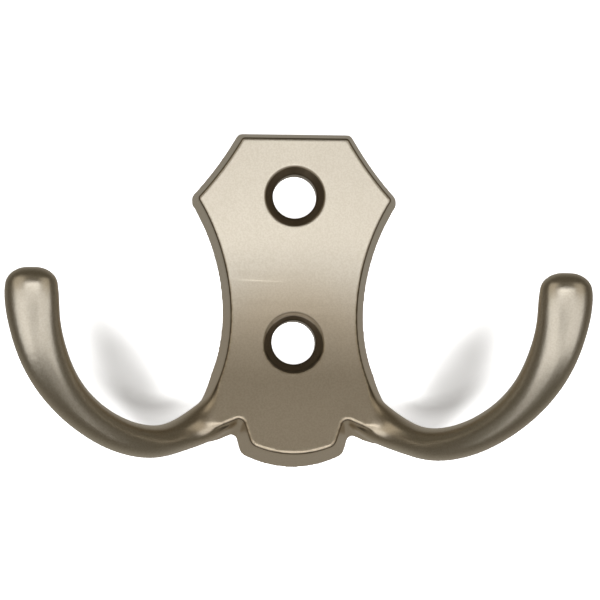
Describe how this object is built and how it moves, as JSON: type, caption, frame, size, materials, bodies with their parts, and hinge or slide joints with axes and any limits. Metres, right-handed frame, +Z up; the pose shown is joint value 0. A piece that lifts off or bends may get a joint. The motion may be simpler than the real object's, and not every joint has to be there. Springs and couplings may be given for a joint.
{
  "type": "double robe hook",
  "caption": "Wall-mounted double robe hook: a waisted back plate with countersunk screw holes and arms curving out, forward and up on both sides.",
  "frame": {"origin": "midway between the two screw holes, on the back plane of the plate", "axes": "+X across the hook, +Y into the wall, +Z up the plate"},
  "size_m": [0.0682, 0.0287, 0.0412],
  "materials": {
    "satin_nickel": "satin"
  },
  "bodies": {
    "root": {"double_hook": "satin_nickel"}
  },
  "joints": []
}
